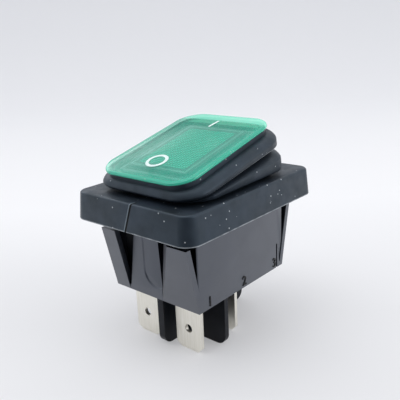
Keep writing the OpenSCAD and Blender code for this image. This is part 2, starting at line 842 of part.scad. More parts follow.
housing();
boot();
window();
rocker();
rocker_lens();
lamp();
lamp_resistor();
lamp_lead_left();
lamp_lead_right();
plunger_left();
plunger_right();
plunger_spring_left();
plunger_spring_right();
contact_bar_left();
contact_bar_right();
contact_tip_left();
contact_tip_right();
fixed_terminal_left();
fixed_terminal_right();
fixed_contact_left();
fixed_contact_right();
common_terminal_left();
common_terminal_right();
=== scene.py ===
"""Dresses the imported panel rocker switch: finishes, rubber boot, window, marks and studio."""

import json
import math

import bmesh
import bpy
from mathutils import Matrix, Vector
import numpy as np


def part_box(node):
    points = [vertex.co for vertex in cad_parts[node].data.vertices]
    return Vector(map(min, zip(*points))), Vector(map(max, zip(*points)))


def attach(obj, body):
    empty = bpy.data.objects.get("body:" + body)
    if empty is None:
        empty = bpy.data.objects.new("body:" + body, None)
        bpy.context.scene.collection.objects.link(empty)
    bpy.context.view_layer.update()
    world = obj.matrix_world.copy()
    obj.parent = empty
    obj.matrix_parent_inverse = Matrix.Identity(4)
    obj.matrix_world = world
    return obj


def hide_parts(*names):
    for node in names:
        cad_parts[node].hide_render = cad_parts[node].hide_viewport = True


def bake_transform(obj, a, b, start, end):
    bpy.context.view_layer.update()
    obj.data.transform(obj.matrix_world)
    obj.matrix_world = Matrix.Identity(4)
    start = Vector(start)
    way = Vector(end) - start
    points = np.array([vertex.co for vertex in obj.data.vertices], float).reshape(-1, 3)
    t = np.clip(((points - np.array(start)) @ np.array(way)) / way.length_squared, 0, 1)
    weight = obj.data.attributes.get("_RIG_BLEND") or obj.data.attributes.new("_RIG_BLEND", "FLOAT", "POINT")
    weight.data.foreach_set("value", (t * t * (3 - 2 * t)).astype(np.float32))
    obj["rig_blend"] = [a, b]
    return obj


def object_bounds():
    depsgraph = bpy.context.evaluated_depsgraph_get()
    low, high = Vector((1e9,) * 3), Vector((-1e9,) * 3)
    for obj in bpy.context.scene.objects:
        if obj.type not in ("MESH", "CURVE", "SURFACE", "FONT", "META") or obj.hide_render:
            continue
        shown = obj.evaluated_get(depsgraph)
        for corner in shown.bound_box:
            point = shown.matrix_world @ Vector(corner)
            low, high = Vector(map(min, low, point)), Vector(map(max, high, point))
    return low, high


MM = 0.001
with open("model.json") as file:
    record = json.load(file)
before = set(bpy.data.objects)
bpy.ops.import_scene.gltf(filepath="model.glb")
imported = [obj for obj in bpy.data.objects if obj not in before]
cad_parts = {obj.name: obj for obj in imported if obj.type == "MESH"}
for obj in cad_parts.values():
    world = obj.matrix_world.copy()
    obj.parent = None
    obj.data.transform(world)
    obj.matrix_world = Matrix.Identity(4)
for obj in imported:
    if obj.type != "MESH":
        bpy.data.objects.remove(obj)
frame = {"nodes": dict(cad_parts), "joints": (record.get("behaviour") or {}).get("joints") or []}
cad_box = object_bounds()


# ---------------------------------------------------------------- sizes, in millimetres

def box_mm(node):
    """A CAD node's lowest and highest corners at rest, in millimetres to a hundredth."""
    return [[round(value / MM, 2) for value in corner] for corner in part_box(node)]


BOOT_HIGH = box_mm("boot")[1]
HOUSING_HIGH = box_mm("housing")[1]
WINDOW_HIGH = box_mm("window")[1]
COMMON_LOW = box_mm("common_terminal_left")[0]
FIXED_LOW = box_mm("fixed_terminal_left")[0]

# Housing
BODY_SIZE = (21.6, 26.8)
BODY_SHADE_INSET = 0.7  # how far in from the body's sides the painted shade inside it begins
BARRIERS_BELOW = -15.15  # the level below which there are only barriers
BEZEL_TOP = HOUSING_HIGH[2]
TERMINAL_PITCH = round(COMMON_LOW[1] - FIXED_LOW[1], 2)
# the recess in each end panel: its depth, the level of its middle and the run of its soft side
RECESS_DEPTH = 0.2
RECESS_MIDDLE = -7.0
RECESS_SLOPE = 0.32
# its floor lies this near the middle of the panel and below this level
RECESS_REACH = 4
RECESS_TOP = -1

# The small radii of softened edges, and the angle in degrees from which an edge is one
HOUSING_EDGE = 0.1
ROCKER_EDGE = 0.08
TERMINAL_EDGE = 0.06
EDGE_ANGLE = 30

# Boot: the flange that wraps the bezel, two folds and the neck under the window
FLANGE_SIZE = (2 * BOOT_HIGH[0], 2 * BOOT_HIGH[1])
FLANGE_HEIGHT = 5.3
FLANGE_CORNER = 3.0
FLANGE_DRAFT = 0.5
FLANGE_EDGE = 0.5
SKIRT = round(BOOT_HIGH[0] - HOUSING_HIGH[0], 2)  # thickness of the rubber round the bezel
LIP = 0.8  # thickness of the rubber under the bezel
# the lip's lower edge, as insets and heights; the flash line, partly a painted edge highlight,
# joins its second to its third
LIP_EDGE = ((0.1, 0), (0.03, 0.03), (0, 0.12), (0.02, 0.28))
FIT = 0.05  # gap from the boot's inside to the sides of the body and the bezel
HAIR = 0.02  # gap from it to the bezel's top and underside
SEAL_CORNER = 0.35
FOLD_SIZE = (25.2, 29.2)
FOLD_CORNER = 5.5
LOWER_FOLD = {"crest": 7.4, "under": 1.6, "roll": 1.0}
UPPER_FOLD = {"crest": 10.0, "under": 1.1, "roll": 1.25}
FOLD_WALL = 0.7
SLOPE = 0.45  # of a fold's top: 0 for a round one and 1 for a straight one
# a fold below its crest, as shares of the way in and down: the underside, then the flash line
# on its sharp lower edge, drawn pale partly as a painted edge highlight, then the side that curves
# out to the crest
UNDERCUT = (
    (1, 1), (0.8, 1), (0.5, 0.99), (0.25, 0.97),
    (0.12, 0.94), (0.075, 0.89), (0.06, 0.82), (0.04, 0.6), (0.02, 0.38), (0.005, 0.18),
)
FLASH_AND_HIGHLIGHT_LINE = 5  # its place in this list; it starts at the one before
GROOVE_INSET = 1.0  # how far the grooves lie inside the window's edge
GROOVE_DEPTH = 0.3  # how far the lowest groove lies below the flange's top
GROOVE_FILLET = (0.7, 0.25)  # how far the rubber curves out of it, across and up
NECK_HEIGHT = 1.05
NECK_INSET = 0.4
LEDGE = 1.7  # how far the rubber reaches in under the window
FAN = (4.9, 10.4)  # levels between which the rubber starts and stops turning with the rocker
BOOT_TOP = UPPER_FOLD["crest"] + UPPER_FOLD["roll"] + NECK_HEIGHT

# Window
WINDOW_SIZE = (2 * WINDOW_HIGH[0], 27.9)
WINDOW_CORNER = 4.5
WINDOW_RIM = 0.7  # the plate's thickness at its ends
WINDOW_CROWN = 0.6  # how much thicker it is in the middle
WINDOW_EDGE = 0.3  # the radius of its upper edge
WINDOW_CHAMFER = 0.12
WINDOW_CAP = 0.5  # half the width of the small cap that closes each face
EDGE_GLOW = 1.6  # how far the dyed rim's opacity and faint painted glow reach in
GLOW_FROM = (10.2, 11.0)  # where the raised end's painted glow starts and is full, on the level rocker

# Lens and the rocker's frame round it
LENS_SIZE = (11.3, 15.3)
DOT_PITCH = 0.62
RIDGE_PITCH = 1.5
RIDGE_SHIFT = 0.3  # share of a pitch by which the first pale ring, a painted highlight, is nearer to the lens than a pitch

# Marks on the window
O_CENTRE = -8.3
O_RADIUS = 2.15
O_STROKE = 0.62
I_CENTRE = 8.5
I_SIZE = (0.5, 3.2)
INK_THICKNESS = 0.03

# Numbers on the housing, beside the rows of terminals
NUMBER_HEIGHT = 1.9
NUMBER_FOOT = -14.6
NUMBER_BOLDER = 0.03  # how far the strokes grow on each side
NUMBER_RELIEF = 0.12
FIGURE_SHARE = 0.7  # height of the font's figures as a share of its size

# Plunger springs, on the level rocker
COIL_RADIUS = 1.15
SPRING_WIRE = 0.36
SPRING_TURNS = 8
SPRING_ENDS = (-2.7, 4.3)
DEAD_TURN = 1.05 * SPRING_WIRE  # rise of an end turn, which lies flat on the wire before it

# Rubber's parting line, on the near short side only: its x is a share of its height and a shift
PARTING_FRONT = -17.5
PARTING_LEAN = 0.27
PARTING_SHIFT = -0.4
# its step, painted dark as shade, and its raised edge, painted pale as a highlight: how far
# right of it each lies, and half its width
PARTING_BANDS = ((0.18, 0.2), (-0.16, 0.1))
PARTING_BLUR = 0.05
PARTING_DEPTH = 0.08

# Dust on the rubber: the radius of a speck, and layers of cells with the share that hold one
DUST_RADIUS = 0.13
DUST_LAYERS = ((2.0, 0.42), (1.1, 0.12), (0.7, 0.02))

# Sheet: half its width, its front, where it starts to curve up, the curve's radius and its end
SHEET_HALF_WIDTH = 1600
SHEET_FRONT = -900
SHEET_RISE = 300
SHEET_RADIUS = 200
SHEET_END = (500, 260)
SHEET_GLOW = 0.36  # share of its plain colour in what is seen of it

# Camera: its direction, its distance, how far it stands aside and above, and its lens
VIEW_AZIMUTH = math.radians(41.28)
VIEW_HEIGHT = math.radians(17.41)
VIEW_ROLL = math.radians(-2.56)
CAMERA_DISTANCE = 109.3
CAMERA_ASIDE = 0.208
CAMERA_ABOVE = 0.753
CAMERA_LENS = 49.62
SENSOR_WIDTH = 36

# Light: the surround's level, what the camera sees of it, its brighter patch, how it dims
# toward the camera, and the lamps (name, place in metres, size in metres, watts)
SURROUND = 1.06
BACKDROP = 0.8
PATCH = 2.4
PATCH_WAY = Vector((-0.93, 0.3, 0.22)).normalized()
PATCH_EDGE = (0.88, 0.985)
DIM_EDGE = (0.35, 0.95)
DIM_TO = 0.2
LAMPS = (
    ("lamp_above", (-0.1, -0.1, 0.5), 0.4, 0.6),
    ("lamp_right", (0.5, 0.15, 0.22), 0.3, 0.6),
)

# The rocker's pivot in metres, and its tilt at rest, which is half its whole travel from level
JOINTS = {joint["name"]: joint for joint in frame["joints"]}
PIVOT = Vector(JOINTS["rocker_tilt"]["pos_m"])
TILT = math.radians(JOINTS["rocker_tilt"]["range_deg"][1]) / 2


# ---------------------------------------------------------------- mesh helpers

def piece(name, bm, material, body=None, smooth=35):
    """Turns a bmesh in millimetres into a finished object, smooth below an angle in degrees."""
    bmesh.ops.recalc_face_normals(bm, faces=bm.faces)
    bm.transform(Matrix.Scale(MM, 4))
    mesh = bpy.data.meshes.new(name)
    bm.to_mesh(mesh)
    bm.free()
    made = bpy.data.objects.new(name, mesh)
    bpy.context.collection.objects.link(made)
    mesh.shade_smooth()
    mesh.set_sharp_from_angle(angle=math.radians(smooth))
    mesh.materials.append(material)
    if body:
        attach(made, body)
    return made


def on_rocker(bm):
    """Turns a level bmesh in millimetres to the rocker's place at rest."""
    pivot = Matrix.Translation(PIVOT / MM)
    bm.transform(pivot @ Matrix.Rotation(TILT, 4, "X") @ pivot.inverted())


def sweep(bm, sections, arc):
    """Sweeps rounded rectangles (half width, half length, corner radius, height) into a skin.

    One circle is extruded from section to section of an empty bmesh. Each of its quarters is one
    corner. Returns the vertices of every section.
    """
    turn = bm.verts.layers.float_vector.new("turn")
    circle = bmesh.ops.create_circle(bm, segments=4 * arc, radius=1)["verts"]
    half_step = Matrix.Rotation(math.pi / (4 * arc), 3, "Z")
    for vert in circle:
        vert[turn] = half_step @ vert.co
    edges = bm.edges[:]
    loops = [circle]
    for _ in sections[1:]:
        grown = bmesh.ops.extrude_edge_only(bm, edges=edges)["geom"]
        edges = [item for item in grown if isinstance(item, bmesh.types.BMEdge)]
        loops.append([item for item in grown if isinstance(item, bmesh.types.BMVert)])
        edges = [edge for edge in edges if all(vert in loops[-1] for vert in edge.verts)]
    for loop, (half_width, half_length, radius, height) in zip(loops, sections):
        for vert in loop:
            way = vert[turn]
            centre_x = math.copysign(half_width - radius, way.x)
            centre_y = math.copysign(half_length - radius, way.y)
            vert.co = (centre_x + radius * way.x, centre_y + radius * way.y, height)
    return loops


def arc_points(start, stop, steps):
    """Angles in radians from start to stop, given in degrees."""
    return [math.radians(start + (stop - start) * i / steps) for i in range(steps + 1)]


# ---------------------------------------------------------------- material helpers

# A Mix node for colours: its sockets for the share and the two colours, and its result
SHARE, FIRST, SECOND, MIXED = 0, 6, 7, 2


def colour(hex_code):
    """An sRGB hex colour as linear RGBA."""
    values = [int(hex_code[i:i + 2], 16) / 255 for i in (1, 3, 5)]
    linear = [v / 12.92 if v <= 0.04045 else ((v + 0.055) / 1.055) ** 2.4 for v in values]
    return (*linear, 1)


def per_mm(size):
    """The scale that gives a pattern this size in millimetres on Object coordinates."""
    return 1 / (size * MM)


def add(tree, kind, sockets=None, output=0, **settings):
    """Adds a node with its settings and links, and returns one of its outputs, if it has any.

    A socket's value is a constant or another node's output.
    """
    made = tree.nodes.new(kind)
    for name, value in settings.items():
        setattr(made, name, value)
    for socket, value in (sockets or {}).items():
        if isinstance(value, bpy.types.NodeSocket):
            tree.links.new(value, made.inputs[socket])
        else:
            made.inputs[socket].default_value = value
    return made.outputs[output] if made.outputs else None


def new_finish(name):
    """An empty material. Returns it with its node tree and its Object coordinates."""
    material = bpy.data.materials.new(name)
    material.use_nodes = True
    tree = material.node_tree
    tree.nodes.clear()
    return material, tree, add(tree, "ShaderNodeTexCoord", output="Object")


def mottled(tree, place, size, first, second):
    """A colour that drifts between two hex colours over patches of this size in millimetres."""
    patches = add(tree, "ShaderNodeTexNoise", {
        "Vector": place, "Scale": per_mm(size), "Detail": 3.0,
    })
    even = add(tree, "ShaderNodeMapRange", {"Value": patches, "From Min": 0.35, "From Max": 0.65})
    return add(tree, "ShaderNodeMix", {
        SHARE: even, FIRST: colour(first), SECOND: colour(second),
    }, MIXED, data_type="RGBA")


def uneven_gloss(tree, place, size, low, high):
    """A roughness that drifts between two values over patches of this size in millimetres."""
    patches = add(tree, "ShaderNodeTexNoise", {
        "Vector": place, "Scale": per_mm(size), "Detail": 3.0,
    })
    return add(tree, "ShaderNodeMapRange", {
        "Value": patches, "From Min": 0.35, "From Max": 0.65, "To Min": low, "To Max": high,
    })


def fine_grain(tree, place, size, depth):
    """A normal raised by a grain of this size and depth in millimetres."""
    grain = add(tree, "ShaderNodeTexNoise", {
        "Vector": place, "Scale": per_mm(size), "Detail": 2.0,
    })
    return add(tree, "ShaderNodeBump", {"Height": grain, "Distance": depth * MM, "Strength": 1.0})


def level_place(tree, place):
    """Object coordinates turned back to the level rocker, so patterns follow its sides."""
    shift = PIVOT - Matrix.Rotation(-TILT, 3, "X") @ PIVOT
    return add(tree, "ShaderNodeMapping", {
        "Vector": place, "Rotation": (-TILT, 0, 0), "Location": tuple(shift),
    })


def close_finish(material, tree, sockets):
    """Ends a material in a Principled shader with these sockets."""
    shader = add(tree, "ShaderNodeBsdfPrincipled", sockets)
    add(tree, "ShaderNodeOutputMaterial", {"Surface": shader})
    return material


# ---------------------------------------------------------------- materials

def unshaded_skin_share(tree, place):
    """1 on the body's moulded skin, and 0 inside it and on the barriers below it, where shade is painted."""
    height = add(tree, "ShaderNodeSeparateXYZ", {0: place}, "Z")
    low = add(tree, "ShaderNodeMath", {0: height, 1: BARRIERS_BELOW * MM}, operation="LESS_THAN")
    inner = 1.0
    for axis, size in zip("XY", BODY_SIZE):
        along = add(tree, "ShaderNodeSeparateXYZ", {0: place}, axis)
        out = add(tree, "ShaderNodeMath", {0: along}, operation="ABSOLUTE")
        short = add(tree, "ShaderNodeMath", {
            0: out, 1: (size / 2 - BODY_SHADE_INSET) * MM,
        }, operation="LESS_THAN")
        inner = add(tree, "ShaderNodeMath", {0: short, 1: inner}, operation="MULTIPLY")
    dull = add(tree, "ShaderNodeMath", {0: low, 1: inner}, operation="MAXIMUM")
    return add(tree, "ShaderNodeMath", {0: 1.0, 1: dull}, operation="SUBTRACT")


def moulded_nylon():
    """Glass-filled nylon 66, injection moulded: black, with a resin-rich skin that takes on the
    grey of what is round it. The inside and the barriers below are painted shade: their
    reflections are tinted dark and they get no coat.
    """
    material, tree, place = new_finish("nylon_66_moulded")
    skin = unshaded_skin_share(tree, place)
    return close_finish(material, tree, {
        "Base Color": mottled(tree, place, 4, "#12151a", "#181b22"),
        "Roughness": uneven_gloss(tree, place, 3, 0.32, 0.42),
        "Normal": fine_grain(tree, place, 0.15, 0.004),
        "IOR": 1.53,
        "Specular IOR Level": 1.0,
        # painted shade: inside the body and on the barriers below, reflections are tinted dark and the coat
        # is left off
        "Specular Tint": add(tree, "ShaderNodeMix", {
            SHARE: skin, FIRST: colour("#26282d"), SECOND: colour("#dce8ff"),
        }, MIXED, data_type="RGBA"),
        "Coat Weight": add(tree, "ShaderNodeMath", {0: skin, 1: 0.8}, operation="MULTIPLY"),
        "Coat Roughness": 0.3,
    })


def shaded_figure_nylon():
    """The housing's nylon on the raised figures: glossier, and darker with weak reflections as painted
    shade.
    """
    material, tree, place = new_finish("nylon_66_figures_shaded")
    return close_finish(material, tree, {
        # painted shade: the figures are darker and reflect less than the housing round them
        "Base Color": mottled(tree, place, 2, "#050608", "#0a0b0e"),
        "Roughness": uneven_gloss(tree, place, 1, 0.2, 0.3),
        "Normal": fine_grain(tree, place, 0.3, 0.002),
        "IOR": 1.53,
        "Specular IOR Level": 0.25,
    })


def dust_specks(tree, place):
    """The share of dust: specks up to a quarter of a millimetre across.

    They are a scatter of balls, thinned out by each cell's own random number.
    """
    dust = 0.0
    for cell, share in DUST_LAYERS:
        nearest = {"Vector": place, "Scale": per_mm(cell)}
        away = add(tree, "ShaderNodeTexVoronoi", nearest, "Distance")
        tone = add(tree, "ShaderNodeTexVoronoi", nearest, "Color")
        lot = add(tree, "ShaderNodeSeparateColor", {0: tone})
        speck = add(tree, "ShaderNodeMath", {0: away, 1: DUST_RADIUS / cell}, operation="LESS_THAN")
        kept = add(tree, "ShaderNodeMath", {0: lot, 1: share}, operation="LESS_THAN")
        here = add(tree, "ShaderNodeMath", {0: speck, 1: kept}, operation="MULTIPLY")
        dust = add(tree, "ShaderNodeMath", {0: here, 1: dust}, operation="MAXIMUM")
    return dust


def flash_and_highlight_threads(tree, place):
    """The share of flash: pale threads, partly a painted edge highlight, that come and go along
    the lines of the flash attribute.
    """
    thread = add(tree, "ShaderNodeTexNoise", {
        "Vector": place, "Scale": per_mm(1.6), "Detail": 3.0,
    })
    strong = add(tree, "ShaderNodeMapRange", {
        "Value": thread, "From Min": 0.3, "From Max": 0.6, "To Min": 0.35,
    })
    flash_and_highlight = add(tree, "ShaderNodeAttribute", output="Fac", attribute_name="flash_and_highlight")
    return add(tree, "ShaderNodeMath", {0: flash_and_highlight, 1: strong}, operation="MULTIPLY")


def parting_line(tree, place):
    """Shares of the two bands of the parting line: its step, painted dark as shade, and its raised
    edge, painted pale as a highlight.
    """
    x, y, z = (add(tree, "ShaderNodeSeparateXYZ", {0: place}, axis) for axis in "XYZ")
    front = add(tree, "ShaderNodeMath", {0: y, 1: PARTING_FRONT * MM}, operation="LESS_THAN")
    lean = add(tree, "ShaderNodeMath", {
        0: z, 1: PARTING_LEAN, 2: PARTING_SHIFT * MM,
    }, operation="MULTIPLY_ADD")
    apart = add(tree, "ShaderNodeMath", {0: x, 1: lean}, operation="SUBTRACT")
    bands = []
    for centre, half in PARTING_BANDS:
        off = add(tree, "ShaderNodeMath", {0: apart, 1: centre * MM}, operation="SUBTRACT")
        width = add(tree, "ShaderNodeMath", {0: off}, operation="ABSOLUTE")
        band = add(tree, "ShaderNodeMapRange", {
            "Value": width, "From Min": half * MM, "From Max": (half + PARTING_BLUR) * MM,
            "To Min": 1.0, "To Max": 0.0,
        })
        bands.append(add(tree, "ShaderNodeMath", {0: band, 1: front}, operation="MULTIPLY"))
    return bands


def silicone_rubber():
    """Silicone rubber, press moulded: soft blue-black with a dull sheen, dust specks stuck to it,
    pale flash lines where the mould closed, drawn pale partly as a painted edge highlight, and a
    parting line down the near short side, with painted shade in its step and a painted highlight
    on its raised edge.
    """
    material, tree, place = new_finish("silicone_rubber")
    rubber = mottled(tree, place, 6, "#10161c", "#212933")
    dust, flash_and_highlight = dust_specks(tree, place), flash_and_highlight_threads(tree, place)
    # the flash lines' pale colour is partly a painted edge highlight
    pale = add(tree, "ShaderNodeMath", {0: dust, 1: flash_and_highlight}, operation="MAXIMUM")
    faint = add(tree, "ShaderNodeMath", {0: pale, 1: 0.8}, operation="MULTIPLY")
    specked = add(tree, "ShaderNodeMix", {
        SHARE: faint, FIRST: rubber, SECOND: colour("#ccd1d4"),
    }, MIXED, data_type="RGBA")
    # painted shade in the parting line's step, in its colour and its reflections, and a painted highlight on
    # its raised edge
    step, raised = parting_line(tree, place)
    edged = add(tree, "ShaderNodeMix", {
        SHARE: raised, FIRST: specked, SECOND: colour("#6f7a82"),
    }, MIXED, data_type="RGBA")
    return close_finish(material, tree, {
        "Base Color": add(tree, "ShaderNodeMix", {
            SHARE: step, FIRST: edged, SECOND: colour("#04070a"),
        }, MIXED, data_type="RGBA"),
        "Roughness": uneven_gloss(tree, place, 2, 0.4, 0.54),
        "Normal": add(tree, "ShaderNodeBump", {
            "Height": step, "Distance": -PARTING_DEPTH * MM, "Strength": 1.0,
            "Normal": fine_grain(tree, place, 0.22, 0.006),
        }),
        "IOR": 1.43,
        "Specular IOR Level": 1.0,
        "Specular Tint": add(tree, "ShaderNodeMix", {
            SHARE: step, FIRST: colour("#c6dcef"), SECOND: colour("#15181b"),
        }, MIXED, data_type="RGBA"),
    })


def window_scuffs(tree, level):
    """The share of scuffs: short streaks across the window, in a few places only."""
    drag = add(tree, "ShaderNodeMapping", {
        "Vector": level, "Rotation": (0, 0, 0.5), "Scale": (0.25, 1.6, 1),
    })
    marks = add(tree, "ShaderNodeTexNoise", {"Vector": drag, "Scale": per_mm(0.5), "Detail": 4.0})
    places = add(tree, "ShaderNodeTexNoise", {"Vector": level, "Scale": per_mm(5), "Detail": 1.0})
    both = add(tree, "ShaderNodeMath", {0: marks, 1: places}, operation="MULTIPLY")
    return add(tree, "ShaderNodeMapRange", {
        "Value": both, "From Min": 0.4, "From Max": 0.44, "To Max": 0.5,
    })


def tinted_window():
    """Dyed polycarbonate, polished: clear enough to show the lens below and milky enough to glow.

    The plate is thicker to look through at its rim, which is a deeper green with a faint
    painted glow. Its raised end is painted pale mint, a painted glow as of light that runs inside
    it. A few pale scuffs lie on its face.
    """
    material, tree, place = new_finish("green_polycarbonate")
    level = level_place(tree, place)
    rim = add(tree, "ShaderNodeAttribute", output="Fac", attribute_name="edge")
    along = add(tree, "ShaderNodeSeparateXYZ", {0: level}, "Y")
    end = add(tree, "ShaderNodeMapRange", {
        "Value": along, "From Min": GLOW_FROM[0] * MM, "From Max": GLOW_FROM[1] * MM,
    }, interpolation_type="SMOOTHSTEP")
    dense = add(tree, "ShaderNodeMath", {0: rim, 1: end}, operation="MAXIMUM")
    body = mottled(tree, place, 9, "#12c6a6", "#1ed0b0")
    # the rim is a little lighter, a faint painted glow, as well as more opaque
    edged = add(tree, "ShaderNodeMix", {
        SHARE: rim, FIRST: body, SECOND: colour("#27d8b3"),
    }, MIXED, data_type="RGBA")
    # painted glow: the raised end is coloured pale mint, as if light left the plate there
    dyed = add(tree, "ShaderNodeMix", {
        SHARE: end, FIRST: edged, SECOND: colour("#80ffdc"),
    }, MIXED, data_type="RGBA")
    return close_finish(material, tree, {
        "Base Color": add(tree, "ShaderNodeMix", {
            SHARE: window_scuffs(tree, level), FIRST: dyed, SECOND: colour("#c4f5e6"),
        }, MIXED, data_type="RGBA"),
        "Roughness": uneven_gloss(tree, place, 6, 0.06, 0.1),
        "IOR": 1.58,
        "Specular IOR Level": 0.75,
        "Alpha": add(tree, "ShaderNodeMapRange", {"Value": dense, "To Min": 0.34, "To Max": 0.7}),
    })


def prismatic_lens():
    """Moulded acrylic lens: deep green, with rows of small domes on its face, their tops
    painted pale as highlights.
    """
    material, tree, place = new_finish("green_prism_acrylic")
    level = level_place(tree, place)
    waves = []
    for axis in "XY":
        along = add(tree, "ShaderNodeSeparateXYZ", {0: level}, axis)
        turns = add(tree, "ShaderNodeMath", {
            0: along, 1: 2 * math.pi * per_mm(DOT_PITCH),
        }, operation="MULTIPLY")
        waves.append(add(tree, "ShaderNodeMath", {0: turns}, operation="COSINE"))
    domes = add(tree, "ShaderNodeMath", {0: waves[0], 1: waves[1]}, operation="ADD")
    # painted highlight and shade: the domes' tops are coloured pale and the hollows between them dark
    lit = add(tree, "ShaderNodeMapRange", {"Value": domes, "From Min": -0.1, "From Max": 0.9})
    return close_finish(material, tree, {
        "Base Color": add(tree, "ShaderNodeMix", {
            SHARE: lit, FIRST: colour("#009474"), SECOND: colour("#6cffe2"),
        }, MIXED, data_type="RGBA"),
        "Roughness": uneven_gloss(tree, place, 2, 0.18, 0.26),
        "Normal": add(tree, "ShaderNodeBump", {
            "Height": domes, "Distance": 0.03 * MM, "Strength": 1.0,
        }),
        "IOR": 1.49,
    })


def rocker_nylon():
    """Nylon 66, injection moulded: the rocker's frame is finer and duller than the housing, with
    pale rings round the lens, painted highlights as of low moulded ridges.
    """
    material, tree, place = new_finish("nylon_66_rocker")
    level = level_place(tree, place)
    beyond = []
    for axis, size in zip("XY", LENS_SIZE):
        along = add(tree, "ShaderNodeSeparateXYZ", {0: level}, axis)
        far = add(tree, "ShaderNodeMath", {0: along}, operation="ABSOLUTE")
        beyond.append(add(tree, "ShaderNodeMath", {0: far, 1: size / 2 * MM}, operation="SUBTRACT"))
    out = add(tree, "ShaderNodeMath", {0: beyond[0], 1: beyond[1]}, operation="MAXIMUM")
    turns = add(tree, "ShaderNodeMath", {
        0: out, 1: 2 * math.pi * per_mm(RIDGE_PITCH), 2: 2 * math.pi * RIDGE_SHIFT,
    }, operation="MULTIPLY_ADD")
    wave = add(tree, "ShaderNodeMath", {0: turns}, operation="COSINE")
    # painted highlight: pale rings round the lens stand in for the lit edges of moulded steps
    ridge_highlight = add(tree, "ShaderNodeMapRange", {"Value": wave, "From Min": 0.1, "From Max": 0.7})
    dull = mottled(tree, place, 3, "#566064", "#5f6a6e")
    return close_finish(material, tree, {
        "Base Color": add(tree, "ShaderNodeMix", {
            SHARE: ridge_highlight, FIRST: dull, SECOND: colour("#99a6a8"),
        }, MIXED, data_type="RGBA"),
        "Roughness": uneven_gloss(tree, place, 2, 0.4, 0.5),
        "Normal": fine_grain(tree, place, 0.15, 0.004),
        "IOR": 1.53,
    })


def tin_plate():
    """Brass strip, matt tin plated: creamy white metal with faint rolling lines down its length."""
    material, tree, place = new_finish("tin_plated_brass")
    drawn = add(tree, "ShaderNodeMapping", {"Vector": place, "Scale": (1, 1, 0.06)})
    return close_finish(material, tree, {
        "Base Color": mottled(tree, drawn, 0.35, "#ece9de", "#f4f1e8"),
        "Roughness": uneven_gloss(tree, place, 1.2, 0.36, 0.5),
        "Normal": fine_grain(tree, drawn, 0.12, 0.002),
        "Metallic": 1.0,
    })


def bare_metal(name, first, second, gloss, grain):
    """A bright metal: stamped or drawn, with handling marks this many millimetres apart."""
    material, tree, place = new_finish(name)
    return close_finish(material, tree, {
        "Base Color": mottled(tree, place, 2, first, second),
        "Roughness": uneven_gloss(tree, place, 1, gloss, gloss + 0.12),
        "Normal": fine_grain(tree, place, grain, 0.003),
        "Metallic": 1.0,
    })


def natural_acetal():
    """Acetal, moulded: a slippery off-white that is a little waxy."""
    material, tree, place = new_finish("acetal_natural")
    return close_finish(material, tree, {
        "Base Color": mottled(tree, place, 2, "#d9d5c7", "#e5e2d6"),
        "Roughness": uneven_gloss(tree, place, 1.5, 0.34, 0.44),
        "Normal": fine_grain(tree, place, 0.2, 0.003),
        "IOR": 1.48,
    })


def pad_print_ink():
    """Pad-printing ink: an even bluish white film, matt where it has bitten into the plastic."""
    material, tree, place = new_finish("pad_print_ink")
    return close_finish(material, tree, {
        "Base Color": mottled(tree, place, 0.8, "#dff2ef", "#eefaf8"),
        "Roughness": uneven_gloss(tree, place, 0.6, 0.42, 0.56),
        "Normal": fine_grain(tree, place, 0.12, 0.004),
        "IOR": 1.5,
    })


def resistor_lacquer():
    """Lacquer over a ceramic rod: tan, dipped, with a soft gloss."""
    material, tree, place = new_finish("resistor_lacquer")
    return close_finish(material, tree, {
        "Base Color": mottled(tree, place, 0.8, "#b98f55", "#c79f66"),
        "Roughness": uneven_gloss(tree, place, 0.8, 0.28, 0.4),
        "Normal": fine_grain(tree, place, 0.4, 0.01),
        "IOR": 1.5,
    })


def lamp_glass():
    """Soda-lime glass, drawn and fire polished: clear, with slight waves from the drawing."""
    material, tree, place = new_finish("lamp_glass")
    return close_finish(material, tree, {
        "Base Color": mottled(tree, place, 3, "#fbf1e8", "#ffffff"),
        "Roughness": uneven_gloss(tree, place, 2, 0.02, 0.05),
        "Normal": fine_grain(tree, place, 3, 0.02),
        "IOR": 1.52,
        "Transmission Weight": 0.95,
    })


NYLON = moulded_nylon()
SHADED_FIGURES = shaded_figure_nylon()
RUBBER = silicone_rubber()
WINDOW = tinted_window()
LENS = prismatic_lens()
ROCKER = rocker_nylon()
TIN = tin_plate()
INK = pad_print_ink()
ACETAL = natural_acetal()
LACQUER = resistor_lacquer()
GLASS = lamp_glass()
SPRING_STEEL = bare_metal("music_wire", "#8b8e93", "#a3a6aa", 0.25, 0.08)
BRASS = bare_metal("cartridge_brass", "#c79a4b", "#d6ae63", 0.28, 0.15)
SILVER = bare_metal("fine_silver", "#d9d8d4", "#e8e7e4", 0.25, 0.15)
TINNED_WIRE = bare_metal("tinned_copper_wire", "#c4c1b8", "#d6d4cd", 0.3, 0.1)

NODE_FINISH = {
    "housing": NYLON,
    "rocker": ROCKER,
    "rocker_lens": LENS,
    "lamp": GLASS,
    "lamp_resistor": LACQUER,
    "lamp_lead": TINNED_WIRE,
    "plunger": ACETAL,
    "plunger_spring": SPRING_STEEL,
    "contact_bar": BRASS,
    "contact_tip": SILVER,
    "fixed_contact": SILVER,
    "fixed_terminal": TIN,
    "common_terminal": TIN,
}


def dress_cad_nodes():
    """Gives every carried-over node its finish. Left and right nodes share one."""
    for name, node in frame["nodes"].items():
        kind = name.removesuffix("_left").removesuffix("_right")
        if kind in NODE_FINISH:
            node.data.materials.clear()
            node.data.materials.append(NODE_FINISH[kind])


# ---------------------------------------------------------------- softened edges

